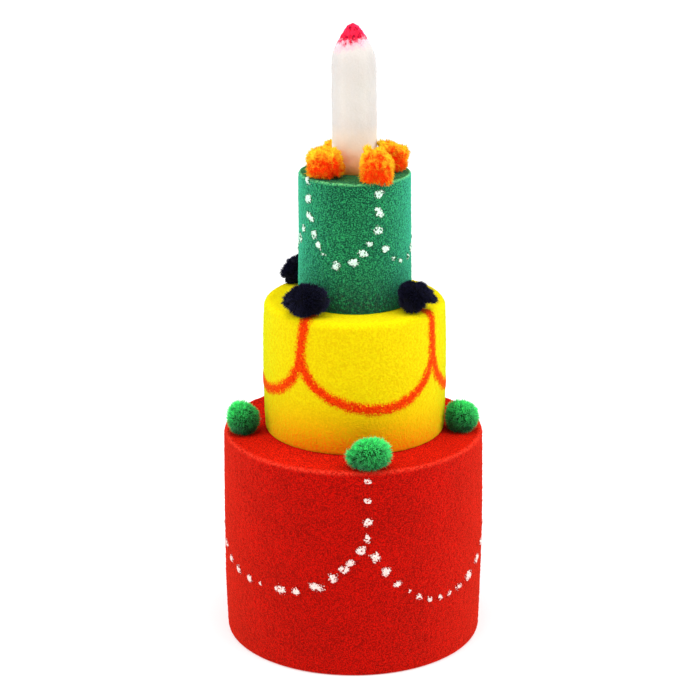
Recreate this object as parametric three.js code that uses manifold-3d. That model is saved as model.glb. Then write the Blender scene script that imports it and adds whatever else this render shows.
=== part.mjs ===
// A three-tier party cake made of soft sponge foam: red, yellow and green cylinders, a white foam
// candle with a pointed tip, and a ring of fluffy pompoms on each tier. Strings of white paint dabs
// hang round the red and green tiers, and an orange painted line hangs round the yellow one.
//
// Millimetres, +Z up. The origin is the centre of the flat underside, and the front faces -Y.
// Angles go round the cake in degrees: 0 is the front, and positive is towards +X.

import * as THREE from "three";
import { mergeVertices } from "three/addons/utils/BufferGeometryUtils.js";
import Module from "manifold-3d";

const wasm = await Module();
wasm.setup();

// ---------- driving dimensions ----------

const GAP = 0.3; // between pieces that rest on or against each other

// Each tier: foot is the height of its underside, top the height of its upper face, and radii are
// those of its wall at the foot, half way up and at the top.
const RED = {
  foot: 0, top: 99.7, radii: [60.1, 60.9, 60.2], centre: [-0.2, 0],
  footRound: 0.8, topRound: 2.2, sides: 64,
};
const YELLOW = {
  foot: RED.top + GAP, top: 161.7, radii: [41.6, 42.3, 41.5], centre: [0.4, 1.4],
  footRound: 0.8, topRound: 3.6, sides: 56,
};
const GREEN = {
  foot: YELLOW.top + GAP, top: 221.4, radii: [25.9, 25.6, 25.3], centre: [0.4, -0.5],
  footRound: 1, topRound: 1.2, sides: 44,
};

// The candle is narrowest at waistAt, a share of the way up to its shoulder. Its cone is given as
// [share of the cone's height, share of the radius], and its blunt end is tipRadius wide. The soft
// tip leans to one side by lean, which grows with the height to the power of leanCurve.
const CANDLE = {
  radius: 10.15, waist: 10.05, waistAt: 0.45, foot: GREEN.top + GAP, shoulder: 270.4, tip: 287.9,
  cone: [[0.25, 0.92], [0.48, 0.71], [0.79, 0.405]],
  tipRadius: 2.1, tipHeight: 1.26, lean: -0.6, leanCurve: 4, centre: [0.1, 0.6], sides: 28,
};

const PAINT_PROUD = 0.5; // how far the paint stands out from the foam
const PAINT_ROOT = 0.9; // how deep it is sunk into the wall that carries it

// A string of dabs: a drop of dabs down from each pompom, raised by so much or slanting by so many
// degrees for each millimetre up, and a swag from each drop to the next, which starts and ends so
// far above the knot. A swag's angles are degrees from where it starts: lowAt is that of its lowest
// point, and its dabs are [angle, width]. curve says how sharply it bends down from its ends. The
// two kinds of swag take turns round the tier.
const RED_STRING = {
  tier: RED,
  drops: [-93, 5.9, 99, 184],
  raised: [0, 0, 0, 0],
  slant: [0, 0, 0, 0],
  dropDabs: [[95.6, 2.7], [86.2, 3.7], [76, 4.3], [67.8, 4.6]], // [height, width]
  knot: 64.5,
  starts: [0, 0, 0, 0],
  ends: [2, 0, 0, 0],
  swags: [
    {
      lowAt: 49, low: 38.6, curve: 2.9,
      dabs: [[9, 4], [17, 4], [24.6, 4.2], [32.7, 4.2], [41.6, 3.8], [48.6, 2.8], [59.7, 4.8],
             [67.6, 4.3], [77, 5.2], [84.1, 4.6], [89, 4.7], [91.7, 4], [96.2, 4.5]],
    },
    {
      lowAt: 36.1, low: 32.6, curve: 2.1,
      dabs: [[3.1, 4.7], [8.1, 4.6], [13.4, 4.4], [18.4, 4], [23.4, 3.6], [29, 3.5], [35.2, 3.2],
             [40.6, 4.1], [47.3, 4.6], [55.4, 5.8], [65, 5], [73, 4.4], [81, 4.4], [88, 4.2]],
    },
  ],
};
const GREEN_STRING = {
  tier: GREEN,
  drops: [-146, -51.5, 24.3, 106],
  raised: [0.5, 4.4, 0, 1.5],
  slant: [0, -0.33, 0.06, 0],
  dropDabs: [[216.7, 4.3], [208, 4.4], [200.1, 4.6]],
  knot: 200,
  starts: [0, 3, -4, 0],
  ends: [6, 1, 1.5, 0],
  swags: [
    {
      lowAt: 35, low: 183.5, curve: 2,
      dabs: [[7.6, 3.8], [18.8, 4.2], [28.8, 3.6], [45, 3.6], [55.6, 4.4], [65.5, 2.6], [73, 4],
             [82, 4]],
    },
    {
      lowAt: 35.5, low: 183.9, curve: 2,
      dabs: [[6.3, 3.9], [12.2, 3.5], [17.8, 3.3], [33.4, 4.4], [50, 4], [59.4, 3.8], [66.6, 3.4],
             [76, 4], [86, 4], [96, 3.8]],
    },
  ],
};

// The painted line: drops from the height start down to end, which may slant as a string's do, and
// swags made of two quarter ellipses each.
const LINE = {
  tier: YELLOW, width: 5.2, start: 157.5, end: 145, knot: 146,
  drops: [-134, -35.3, 56, 146],
  slant: [0, 0.17, 0, 0],
  swags: [{ lowAt: 62, low: 123.2 }, { lowAt: 52, low: 121.5 }, { lowAt: 33, low: 121.3 },
          { lowAt: 46, low: 120.6 }],
  steps: 14, // along each swag
};

// Pompoms: [angle, distance of the middle from the axis, width, height, depth, heading of the
// width from +X, lean]. A lean above 0 makes the +X end the taller one.
const POMPOM_RINGS = [
  {
    name: "green_pompom", tier: RED, color: 0x1fa24a, squareness: 2.15,
    places: [
      [6.4, 54.9, 21, 14.6, 15.4, 0, 0.34],
      [82.5, 50.6, 15.6, 15.3, 15, 0, -0.06],
      [184, 52.6, 17.4, 14.6, 15.4, 12, -0.1],
      [-79, 52.6, 15.4, 15.8, 15, 0, -0.04],
    ],
  },
  {
    name: "navy_pompom", tier: YELLOW, color: 0x12102e, squareness: 2.2,
    places: [
      [-37.5, 34.6, 22.2, 15.6, 15, -20, -0.05],
      [51.5, 35, 18.8, 16.2, 15, 25, -0.12],
      [157, 35, 18.6, 14.6, 15.2, -20, 0.08],
      [-136.5, 37, 19.2, 14.6, 15.6, 25, 0],
    ],
  },
  {
    name: "orange_pompom", tier: GREEN, color: 0xff5a0a, squareness: 3,
    places: [
      [-42.3, 18.1, 17, 14.6, 12.6, -12, 0.05],
      [26.7, 22.3, 14.8, 16.8, 12.6, 8, -0.08],
      [88, 18.3, 13, 14.4, 13.6, -10, -0.22],
      [-156, 18, 13.6, 11.4, 12.4, 20, 0.05],
    ],
  },
];
const POMPOM_DETAIL = 2; // subdivision of the icosahedron under each pompom
const POMPOM_FLAT = 0.8; // share of a pompom's half height that is left under its middle
const LUMPS = { count: 4, least: 1.5, most: 3.5, depth: 0.018 }; // waves over a pompom's surface

// ---------- helpers ----------

const WELD = 1e-4; // vertices closer than this are one

// Repeatable random numbers from 0 to 1 (mulberry32).
function randomFrom(seed) {
  let state = seed >>> 0;
  return () => {
    state = (state + 0x6d2b79f5) >>> 0;
    let t = Math.imul(state ^ (state >>> 15), 1 | state);
    t = (t + Math.imul(t ^ (t >>> 7), 61 | t)) ^ t;
    return ((t ^ (t >>> 14)) >>> 0) / 4294967296;
  };
}

function toSolid(geometry) {
  const bare = geometry.index ? geometry.toNonIndexed() : geometry.clone();
  bare.deleteAttribute("normal");
  bare.deleteAttribute("uv");
  const merged = mergeVertices(bare, WELD);
  return new wasm.Manifold(
    new wasm.Mesh({
      numProp: 3,
      vertProperties: merged.attributes.position.array,
      triVerts: new Uint32Array(merged.index.array),
    }),
  );
}

function toGeometry(solid) {
  const mesh = solid.getMesh();
  const geometry = new THREE.BufferGeometry();
  geometry.setAttribute("position", new THREE.BufferAttribute(new Float32Array(mesh.vertProperties), 3));
  geometry.setIndex(new THREE.BufferAttribute(new Uint32Array(mesh.triVerts), 1));
  geometry.computeVertexNormals();
  return geometry;
}

// A point on a tier's wall, or out from it, or inside it where out is below 0.
function onWall(tier, angle, height, out = 0) {
  const a = THREE.MathUtils.degToRad(angle);
  const r = wallRadius(tier, height) + out;
  return new THREE.Vector3(tier.centre[0] + r * Math.sin(a), tier.centre[1] - r * Math.cos(a), height);
}

// The smooth curve through a tier's three radii.
function wallRadius(tier, height) {
  const share = (height - tier.foot) / (tier.top - tier.foot);
  const [foot, middle, top] = tier.radii;
  return THREE.MathUtils.lerp(foot, top, share) + (4 * middle - 2 * foot - 2 * top) * share * (1 - share);
}

// ---------- the tiers ----------

const ARC_STEPS = 3; // in each rounded edge
const WALL_STEPS = 3; // up each wall

function quarterArc(centreR, centreZ, radius, fromDegrees) {
  const points = [];
  for (let i = 0; i <= ARC_STEPS; i++) {
    const a = THREE.MathUtils.degToRad(fromDegrees + (90 * i) / ARC_STEPS);
    points.push(new THREE.Vector2(centreR + radius * Math.cos(a), centreZ + radius * Math.sin(a)));
  }
  return points;
}

function tierGeometry(tier) {
  const { foot, top, footRound, topRound } = tier;
  const lowR = wallRadius(tier, foot + footRound) - footRound;
  const highR = wallRadius(tier, top - topRound) - topRound;
  const profile = [new THREE.Vector2(0, foot)];
  profile.push(...quarterArc(lowR, foot + footRound, footRound, -90));
  for (let i = 1; i < WALL_STEPS; i++) {
    const height = THREE.MathUtils.lerp(foot + footRound, top - topRound, i / WALL_STEPS);
    profile.push(new THREE.Vector2(wallRadius(tier, height), height));
  }
  profile.push(...quarterArc(highR, top - topRound, topRound, 0));
  profile.push(new THREE.Vector2(0, top));
  const geometry = new THREE.LatheGeometry(profile, tier.sides);
  geometry.rotateX(Math.PI / 2); // the lathe's axis, Y, becomes Z
  geometry.translate(tier.centre[0], tier.centre[1], 0);
  return geometry;
}

// ---------- the paint ----------

const DAB_SIDES = 6;
const DAB_CROWN = 0.55; // width of a dab's flat crown, as a share of its own
const DAB_RAGGED = 0.22; // how far each corner may be nearer or further than a round dab's edge
const DAB_TALL = 0.92; // height of a dab as a share of its width

// One dab of paint: a low ragged frustum, wider than tall, sunk into the wall.
function dabSolid(tier, angle, height, width, random) {
  const tall = PAINT_PROUD + PAINT_ROOT;
  const dab = new THREE.CylinderGeometry(DAB_CROWN, 1, tall, DAB_SIDES);
  const spread = Array.from({ length: DAB_SIDES }, () => 1 + DAB_RAGGED * (2 * random() - 1));
  const p = dab.attributes.position;
  for (let i = 0; i < p.count; i++) {
    const turn = Math.atan2(p.getX(i), p.getZ(i));
    const side = Math.round((turn / (2 * Math.PI)) * DAB_SIDES + DAB_SIDES) % DAB_SIDES;
    const scale = (width / 2) * spread[side];
    const level = p.getY(i) + (PAINT_PROUD - PAINT_ROOT) / 2;
    p.setXYZ(i, p.getX(i) * scale, level, p.getZ(i) * scale * DAB_TALL);
  }
  dab.rotateX(Math.PI / 2); // its axis, Y, becomes Z, out of the wall
  const middle = onWall(tier, angle, height);
  const up = new THREE.Vector3(0, 0, 1);
  const out = onWall(tier, angle, height, 1).sub(middle);
  const across = new THREE.Vector3().crossVectors(up, out);
  dab.applyMatrix4(new THREE.Matrix4().makeBasis(across, up, out).setPosition(middle));
  return toSolid(dab);
}

// The angle of the next drop, where swag i ends.
const endOf = ({ drops }, i) => (i + 1 < drops.length ? drops[i + 1] : drops[0] + 360);

const LAST_CLEAR = 1.2; // a swag's last dab is at least this far from the next drop

// The angle, height and width of each dab on swag i.
function swagPlaces(string, i) {
  const { lowAt, low, curve, dabs } = string.swags[i % string.swags.length];
  const from = string.drops[i];
  const span = endOf(string, i) - from;
  const lastClear = THREE.MathUtils.radToDeg(LAST_CLEAR / string.tier.radii[1]);
  return dabs.filter(([at]) => at <= span - lastClear).map(([at, width]) => {
    const falling = at < lowAt;
    const share = falling ? 1 - at / lowAt : (at - lowAt) / (span - lowAt);
    const high = string.knot + (falling ? string.starts[i] : string.ends[i]);
    return [from + at, low + (high - low) * share ** curve, width];
  });
}

function paintString(string, seed) {
  const random = randomFrom(seed);
  const wallTop = string.tier.top - string.tier.topRound;
  const solids = [];
  string.drops.forEach((from, i) => {
    for (const [height, width] of string.dropDabs) {
      const angle = from + string.slant[i] * (height - string.knot);
      const raised = Math.min(height + string.raised[i], wallTop - width / 2);
      solids.push(dabSolid(string.tier, angle, raised, width, random));
    }
    for (const [angle, height, width] of swagPlaces(string, i)) {
      solids.push(dabSolid(string.tier, angle, height, width, random));
    }
  });
  return solids;
}

const STRIP_CROWN = 0.65; // width of a strip's outer face, as a share of its own

// A strip of paint that follows a path on the wall: a long box bent along it.
// pathAt(share) gives the path's angle and height at a share of its length.
function paintStrip(tier, pathAt, width, steps) {
  const strip = new THREE.BoxGeometry(1, 1, 1, steps, 1, 1);
  const p = strip.attributes.position;
  const nudge = 1e-3;
  for (let i = 0; i < p.count; i++) {
    const share = p.getX(i) + 0.5;
    const [angle, height] = pathAt(share);
    const [angleBefore, heightBefore] = pathAt(share - nudge);
    const [angleAfter, heightAfter] = pathAt(share + nudge);
    const along = THREE.MathUtils.degToRad(angleAfter - angleBefore) * tier.radii[1];
    const rise = heightAfter - heightBefore;
    const long = Math.hypot(along, rise);
    const isOuter = p.getZ(i) > 0;
    const across = p.getY(i) * width * (isOuter ? STRIP_CROWN : 1);
    const sideways = (-rise / long) * across;
    const upward = (along / long) * across;
    const out = isOuter ? PAINT_PROUD : -PAINT_ROOT;
    const turned = angle + THREE.MathUtils.radToDeg(sideways / tier.radii[1]);
    const place = onWall(tier, turned, height + upward, out);
    p.setXYZ(i, place.x, place.y, place.z);
  }
  return toSolid(strip);
}

function paintLine(line) {
  const solids = [];
  line.drops.forEach((from, i) => {
    const to = endOf(line, i);
    const swag = line.swags[i];
    const swagAt = (share) => {
      const round = Math.PI * (share - 0.5); // evenly in angle round both quarter ellipses
      const half = share < 0.5 ? swag.lowAt : to - from - swag.lowAt;
      const depth = line.knot - swag.low;
      return [from + swag.lowAt + half * Math.sin(round), line.knot - depth * Math.cos(round)];
    };
    const dropAt = (share) => {
      const height = THREE.MathUtils.lerp(line.start, line.end, share);
      return [from + line.slant[i] * (height - line.knot), height];
    };
    solids.push(paintStrip(line.tier, swagAt, line.width, line.steps));
    solids.push(paintStrip(line.tier, dropAt, line.width, 1));
  });
  return solids;
}

function paintedTier(tier, paint) {
  return toGeometry(wasm.Manifold.union([toSolid(tierGeometry(tier)), ...paint]));
}

// ---------- the candle ----------

function candleGeometry() {
  const { radius, foot, shoulder, tip } = CANDLE;
  const profile = [
    new THREE.Vector2(0, foot),
    new THREE.Vector2(radius, foot),
    new THREE.Vector2(CANDLE.waist, THREE.MathUtils.lerp(foot, shoulder, CANDLE.waistAt)),
    new THREE.Vector2(radius, shoulder),
  ];
  for (const [up, wide] of CANDLE.cone) {
    profile.push(new THREE.Vector2(radius * wide, THREE.MathUtils.lerp(shoulder, tip, up)));
  }
  profile.push(new THREE.Vector2(CANDLE.tipRadius, tip - CANDLE.tipHeight), new THREE.Vector2(0, tip));
  const geometry = new THREE.LatheGeometry(profile, CANDLE.sides);
  geometry.rotateX(Math.PI / 2);
  const p = geometry.attributes.position;
  for (let i = 0; i < p.count; i++) {
    const share = THREE.MathUtils.clamp((p.getZ(i) - foot) / (tip - foot), 0, 1);
    p.setX(i, p.getX(i) + CANDLE.lean * share ** CANDLE.leanCurve);
  }
  geometry.translate(CANDLE.centre[0], CANDLE.centre[1], 0);
  return geometry;
}

// ---------- the pompoms ----------

// A lumpy, slightly squared ball with a flat foot, its middle at the origin.
function pompomGeometry(width, height, depth, squareness, lean, seed) {
  const random = randomFrom(seed);
  const draw = () => THREE.MathUtils.lerp(LUMPS.least, LUMPS.most, random());
  const waves = Array.from({ length: LUMPS.count }, () => ({
    along: new THREE.Vector3(draw(), draw(), draw()), start: 2 * Math.PI * random(),
  }));
  const geometry = new THREE.IcosahedronGeometry(1, POMPOM_DETAIL);
  const p = geometry.attributes.position;
  for (let i = 0; i < p.count; i++) {
    const v = new THREE.Vector3().fromBufferAttribute(p, i).normalize();
    const sum = v.toArray().reduce((total, side) => total + Math.abs(side) ** squareness, 0);
    let r = sum ** (-1 / squareness);
    for (const wave of waves) {
      r *= 1 + LUMPS.depth * Math.sin(wave.along.dot(v) + wave.start);
    }
    const x = (v.x * r * width) / 2;
    const z = Math.max((v.z * r * height) / 2, (-POMPOM_FLAT * height) / 2);
    // lean makes one side taller than the other
    p.setXYZ(i, x, (v.y * r * depth) / 2, z > 0 ? z * (1 + (lean * 2 * x) / width) : z);
  }
  return geometry;
}

function addPompoms(cake, ring, ringIndex) {
  ring.places.forEach(([angle, distance, width, height, depth, heading, lean], i) => {
    const seed = 100 * (ringIndex + 1) + i;
    const geometry = pompomGeometry(width, height, depth, ring.squareness, lean, seed);
    const pompom = named(ring.name + "_" + (i + 1), geometry, ring.color);
    const a = THREE.MathUtils.degToRad(angle);
    const middle = ring.tier.top + GAP + (POMPOM_FLAT * height) / 2;
    pompom.position.set(distance * Math.sin(a), -distance * Math.cos(a), middle);
    pompom.rotation.z = THREE.MathUtils.degToRad(heading);
    cake.add(pompom);
  });
}

// ---------- the cake ----------

// Foam, paint and yarn are all dull.
function named(name, geometry, color) {
  const material = new THREE.MeshStandardMaterial({ color, roughness: 1, metalness: 0 });
  const mesh = new THREE.Mesh(geometry, material);
  mesh.name = name;
  return mesh;
}

const cake = new THREE.Group();
cake.add(named("red_tier", paintedTier(RED, paintString(RED_STRING, 11)), 0xcb160e));
cake.add(named("yellow_tier", paintedTier(YELLOW, paintLine(LINE)), 0xf7d908));
cake.add(named("green_tier", paintedTier(GREEN, paintString(GREEN_STRING, 23)), 0x248a50));
cake.add(named("candle", candleGeometry(), 0xf1e9e0));
POMPOM_RINGS.forEach((ring, i) => addPompoms(cake, ring, i));

export default cake;
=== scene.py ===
"""A toy party cake of soft sponge foam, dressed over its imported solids: foam tiers with white paint
dabs and an orange painted line, a white foam candle with a pink tip, and twelve fluffy pompoms."""

import math
from dataclasses import dataclass

import bpy
import numpy as np
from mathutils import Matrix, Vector


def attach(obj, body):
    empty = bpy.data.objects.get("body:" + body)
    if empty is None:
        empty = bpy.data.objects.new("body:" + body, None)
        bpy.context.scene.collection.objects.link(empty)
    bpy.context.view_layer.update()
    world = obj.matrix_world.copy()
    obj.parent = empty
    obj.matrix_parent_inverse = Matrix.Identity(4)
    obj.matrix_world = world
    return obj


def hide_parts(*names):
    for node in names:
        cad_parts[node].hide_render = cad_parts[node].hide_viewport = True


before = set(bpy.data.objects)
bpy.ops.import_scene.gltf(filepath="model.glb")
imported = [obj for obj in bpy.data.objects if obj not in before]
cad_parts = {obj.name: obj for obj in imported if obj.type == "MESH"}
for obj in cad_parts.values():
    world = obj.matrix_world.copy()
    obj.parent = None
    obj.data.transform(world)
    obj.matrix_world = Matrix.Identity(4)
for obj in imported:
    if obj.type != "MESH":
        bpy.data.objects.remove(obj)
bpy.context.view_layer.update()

MM = 0.001  # metres in a millimetre: sizes and places below are in millimetres

# ---------- the cake's dimensions ----------


@dataclass
class Tier:
    """A foam cylinder. Radii are those of its wall at the foot, half way up and at the top."""

    foot: float
    top: float
    radii: tuple
    centre: tuple
    foot_round: float
    top_round: float
    covered: float  # radius of the part of its top that the next tier hides
    around: int  # cells round the wall
    bounce_shade_reach: float = 1  # how high the painted light bounced from the tier below, and painted shade, reach up its foot
    bounce_shade_behind: float = 1  # how much of that there is away from the front

    def radius(self, height):
        """Radius of the wall at a height, on a smooth curve through the three radii."""
        share = (height - self.foot) / (self.top - self.foot)
        foot, middle, top = self.radii
        bulge = 4 * middle - 2 * foot - 2 * top
        return foot + (top - foot) * share + bulge * share * (1 - share)

    def cell(self):
        return 2 * math.pi * self.radii[1] / self.around


SETTLED = 0.06  # gap left between pieces, because soft foam settles on what it stands on
RED = Tier(0, 99.7, (60.1, 60.9, 60.2), (-0.2, 0), 0.8, 2.2, covered=38, around=512)
YELLOW = Tier(RED.top + SETTLED, 161.7, (41.6, 42.3, 41.5), (0.4, 1.4), 0.8, 3.6, covered=23, around=448,
              bounce_shade_reach=26, bounce_shade_behind=0.42)
GREEN = Tier(YELLOW.top + SETTLED, 221.4, (25.9, 25.6, 25.3), (0.4, -0.5), 0.8, 1.2, covered=8, around=320,
             bounce_shade_reach=26)

CANDLE_FOOT = GREEN.top + SETTLED
CANDLE_SHOULDER = 270.4
CANDLE_TIP = 287.9
CANDLE_RADIUS = 10.15
CANDLE_WAIST = 10.05
CANDLE_WAIST_AT = 0.45  # share of the way up to the shoulder
CANDLE_CONE = ((0.25, 0.92), (0.48, 0.71), (0.79, 0.405))  # (share of the cone's height, of its radius)
CANDLE_TIP_RADIUS = 2.1  # radius of the blunt tip, and how high it is
CANDLE_TIP_HEIGHT = 1.26
CANDLE_LEAN = -0.6  # how far the tip leans to the right, on a curve of this power
CANDLE_LEAN_CURVE = 4
CANDLE_CENTRE = (0.1, 0.6)
CANDLE_AROUND = 128

# Angles go round the cake in degrees: 0 is the front, -Y, and positive is towards +X.


@dataclass
class Swag:
    """A swag of dabs from one drop to the next. Angles are degrees from where it starts."""

    low_at: float  # angle of its lowest point, and its height there
    low: float
    dabs: list  # (angle, width, how much of the dab is missing)
    curve: float = 2  # how sharply it bends down from its ends


# A string of dabs: a drop below each pompom, raised by so much and slanting by so many degrees for
# each millimetre up, and a swag from each drop to the next, which starts and ends so far above the
# knot. The two kinds of swag take turns.
RED_STRING = {
    "tier": RED,
    "drops": [-93, 5.9, 99, 184],
    "raised": [0] * 4,
    "slant": [0] * 4,
    "drop_dabs": [(95.6, 2.7, 0), (86.2, 3.7, 0.1), (76, 4.3, 0), (67.8, 4.6, 0.25)],
    "knot": 64.5,
    "starts": [0] * 4,
    "ends": [2, 0, 0, 0],
    "swags": [
        Swag(49, 38.6, [(9, 4, 0.1), (17, 4, 0), (24.6, 4.2, 0.05), (32.7, 4.2, 0.05), (41.6, 3.8, 0),
                        (48.6, 2.8, 0.3), (59.7, 4.8, 0), (67.6, 4.3, 0), (77, 5.2, 0), (84.1, 4.6, 0.05),
                        (89, 4.7, 0), (91.7, 4, 0), (96.2, 4.5, 0)], curve=2.9),
        Swag(36.1, 32.6, [(3.1, 4.7, 0), (8.1, 4.6, 0), (13.4, 4.4, 0.1), (18.4, 4, 0.4), (23.4, 3.6, 0),
                          (29, 3.5, 0.15), (35.2, 3.2, 0.1), (40.6, 4.1, 0.3), (47.3, 4.6, 0.1),
                          (55.4, 5.8, 0), (65, 5, 0), (73, 4.4, 0), (81, 4.4, 0.1), (88, 4.2, 0)],
             curve=2.1),
    ],
}
GREEN_STRING = {
    "tier": GREEN,
    "drops": [-146, -51.5, 24.3, 106],
    "raised": [0.5, 4.4, 0, 1.5],
    "slant": [0, -0.33, 0.06, 0],
    "drop_dabs": [(216.7, 4.3, 0), (208, 4.4, 0), (200.1, 4.6, 0.1)],
    "knot": 200,
    "starts": [0, 3, -4, 0],
    "ends": [6, 1, 1.5, 0],
    "swags": [
        Swag(35, 183.5, [(7.6, 3.8, 0.1), (18.8, 4.2, 0.4), (28.8, 3.6, 0.3), (45, 3.6, 0.1),
                         (55.6, 4.4, 0), (65.5, 2.6, 0.2), (73, 4, 0), (82, 4, 0.1)]),
        Swag(35.5, 183.9, [(6.3, 3.9, 0), (12.2, 3.5, 0), (17.8, 3.3, 0.35), (33.4, 4.4, 0), (50, 4, 0),
                           (59.4, 3.8, 0), (66.6, 3.4, 0.15), (76, 4, 0), (86, 4, 0.1), (96, 3.8, 0)]),
    ],
}

# The painted line: drops that start at a distance from the axis, under the pompoms, and slant as a
# string's do, and swags of two quarter ellipses each, (low_at, low).
LINE = {
    "tier": YELLOW, "width": 6, "start": 33, "knot": 146,
    "drops": [-134, -35.3, 56, 146],
    "slant": [0, 0.17, 0, 0],
    "swags": [(62, 123.2), (52, 121.5), (33, 121.3), (46, 120.6)],
}

# ---------- small helpers ----------

LATTICE = 64  # noise repeats after this many lumps


def value_noise(points, size, seed):
    """Smooth noise from -1 to 1 whose lumps are about size across."""
    table = np.random.default_rng(seed).uniform(-1, 1, (LATTICE,) * 3)
    base = np.floor(points / size)
    part = points / size - base
    part = part * part * (3 - 2 * part)
    base = base.astype(int)
    total = np.zeros(len(points))
    for corner in np.ndindex(2, 2, 2):
        at = (base + corner) % LATTICE
        weight = np.prod(np.where(corner, part, 1 - part), axis=1)
        total += weight * table[at[:, 0], at[:, 1], at[:, 2]]
    return total


def smoothstep(low, high, value):
    share = np.clip((value - low) / (high - low), 0, 1)
    return share * share * (3 - 2 * share)


def mesh_object(name, points, triangles, **attributes):
    """A smooth-shaded object from points in millimetres, with a number for each point per attribute."""
    mesh = bpy.data.meshes.new(name)
    mesh.vertices.add(len(points))
    mesh.vertices.foreach_set("co", np.asarray(points * MM, np.float32).ravel())
    mesh.loops.add(3 * len(triangles))
    mesh.loops.foreach_set("vertex_index", np.asarray(triangles, np.int32).ravel())
    mesh.polygons.add(len(triangles))
    mesh.polygons.foreach_set("loop_start", np.arange(0, 3 * len(triangles), 3, dtype=np.int32))
    mesh.update(calc_edges=True)
    mesh.validate()
    mesh.polygons.foreach_set("use_smooth", np.ones(len(mesh.polygons), bool))
    for key, values in attributes.items():
        layer = mesh.attributes.new(key, "FLOAT", "POINT")
        layer.data.foreach_set("value", np.asarray(values, np.float32))
    obj = bpy.data.objects.new(name, mesh)
    bpy.context.scene.collection.objects.link(obj)
    return obj


# ---------- turned shapes ----------


def arc(centre_radius, centre_height, radius, start, cell):
    """Points a cell apart round a quarter circle that starts at start degrees, without its end."""
    count = max(2, round(radius * math.pi / 2 / cell))
    turns = np.radians(start + 90 * np.arange(count) / count)
    return [(centre_radius + radius * math.cos(t), centre_height + radius * math.sin(t)) for t in turns]


FEWEST = 10  # cells round the smallest ring
NARROWEST = 0.6  # a cell is at least this share of a full one wide


def disc(radius, height, around, cell, covered):
    """Rings (radius, height, cells) from a disc's edge in to its middle, sparse where it is covered."""
    rings = []
    while radius > cell:
        rings.append((radius, height, around))
        narrow = 2 * math.pi * radius / around < NARROWEST * cell
        if (radius < covered or narrow) and around % 2 == 0 and around > FEWEST:
            around //= 2
        elif radius < covered:
            break
        radius -= max(cell, 2 * math.pi * radius / around)
    rings.append((0, height, 1))
    return rings


def ring_shifts(counts):
    """Every other ring is turned by half a cell, but not where the number of cells changes."""
    shifts = np.zeros(len(counts))
    for i in range(1, len(counts) - 1, 2):
        if counts[i - 1] == counts[i] == counts[i + 1]:
            shifts[i] = 0.5
    return shifts


def stitch(start, count, shift, next_start, next_count):
    """Triangles between a ring and the next, which has as many cells, twice or half as many, or none."""
    j, k = np.arange(count), np.arange(next_count)
    here, ahead = start + j, start + (j + 1) % count
    up, up_ahead = next_start + k, next_start + (k + 1) % next_count
    if next_count == 1:
        triples = [(here, ahead, np.full(count, next_start))]
    elif count == 1:
        triples = [(np.full(next_count, start), up_ahead, up)]
    elif next_count == count and shift:
        triples = [(here, up_ahead, up), (here, ahead, up_ahead)]
    elif next_count == count:
        triples = [(here, ahead, up), (ahead, up_ahead, up)]
    elif next_count < count:
        first, mid, last = (start + (2 * k + n) % count for n in range(3))
        triples = [(first, mid, up), (mid, up_ahead, up), (mid, last, up_ahead)]
    else:
        first, mid, last = (next_start + (2 * j + n) % next_count for n in range(3))
        triples = [(here, mid, first), (here, ahead, mid), (ahead, last, mid)]
    return np.concatenate([np.stack(t, 1) for t in triples])


def turned(rings, centre):
    """Points, their outward directions and the triangles of the solid that rings go round.
    Rings run from the middle of the underside to the middle of the top."""
    counts = [n for _, _, n in rings]
    shifts = ring_shifts(counts)
    starts = np.concatenate([[0], np.cumsum(counts)])
    radius_height = np.array([(r, z) for r, z, _ in rings], float)
    tangent = np.gradient(radius_height, axis=0)
    tangent /= np.linalg.norm(tangent, axis=1, keepdims=True)
    points, outwards, triangles = [], [], []
    for i, (radius, height, count) in enumerate(rings):
        turn = 2 * math.pi * (np.arange(count) + shifts[i]) / count
        around = np.stack([np.sin(turn), -np.cos(turn), np.ones(count)], 1)
        points.append(around * (radius, radius, height) + (*centre, 0))
        out_radius, out_height = tangent[i, 1], -tangent[i, 0]
        outwards.append(around * (out_radius, out_radius, out_height))
        if i + 1 < len(rings):
            triangles.append(stitch(starts[i], count, shifts[i], starts[i + 1], counts[i + 1]))
    return np.concatenate(points), np.concatenate(outwards), np.concatenate(triangles)


# ---------- the paint ----------


def end_of(string, i):
    """The angle of the next drop, where swag i ends."""
    drops = string["drops"]
    return [*drops, drops[0] + 360][i + 1]


LAST_CLEAR = 1.2  # a swag's last dab is at least this far from the next drop


def swag_dabs(string, i):
    """(angle, height, width, missing) of each dab on swag i."""
    swag = string["swags"][i % len(string["swags"])]
    start, end = string["drops"][i], end_of(string, i)
    last_clear = math.degrees(LAST_CLEAR / string["tier"].radii[1])
    places = []
    for at, width, missing in swag.dabs:
        if start + at > end - last_clear:
            break
        if at < swag.low_at:
            share, rise = 1 - at / swag.low_at, string["starts"][i]
        else:
            share, rise = (at - swag.low_at) / (end - start - swag.low_at), string["ends"][i]
        height = swag.low + (string["knot"] + rise - swag.low) * share**swag.curve
        places.append((start + at, height, width, missing))
    return places


def string_dabs(string):
    dabs = []
    for i, start in enumerate(string["drops"]):
        for height, width, missing in string["drop_dabs"]:
            aside = string["slant"][i] * (height - string["knot"])
            dabs.append((start + aside, height + string["raised"][i], width, missing))
        dabs += swag_dabs(string, i)
    return dabs


def around_and_up(tier, points):
    """Angle in degrees and height of each point, seen from the tier's axis."""
    x, y = points[:, 0] - tier.centre[0], points[:, 1] - tier.centre[1]
    return np.degrees(np.arctan2(x, -y)), points[:, 2]


def from_axis(tier, points):
    return np.hypot(points[:, 0] - tier.centre[0], points[:, 1] - tier.centre[1])


def arc_length(radius, degrees):
    """Length of an arc, taken the short way round."""
    return np.radians((degrees + 180) % 360 - 180) * radius


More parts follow.
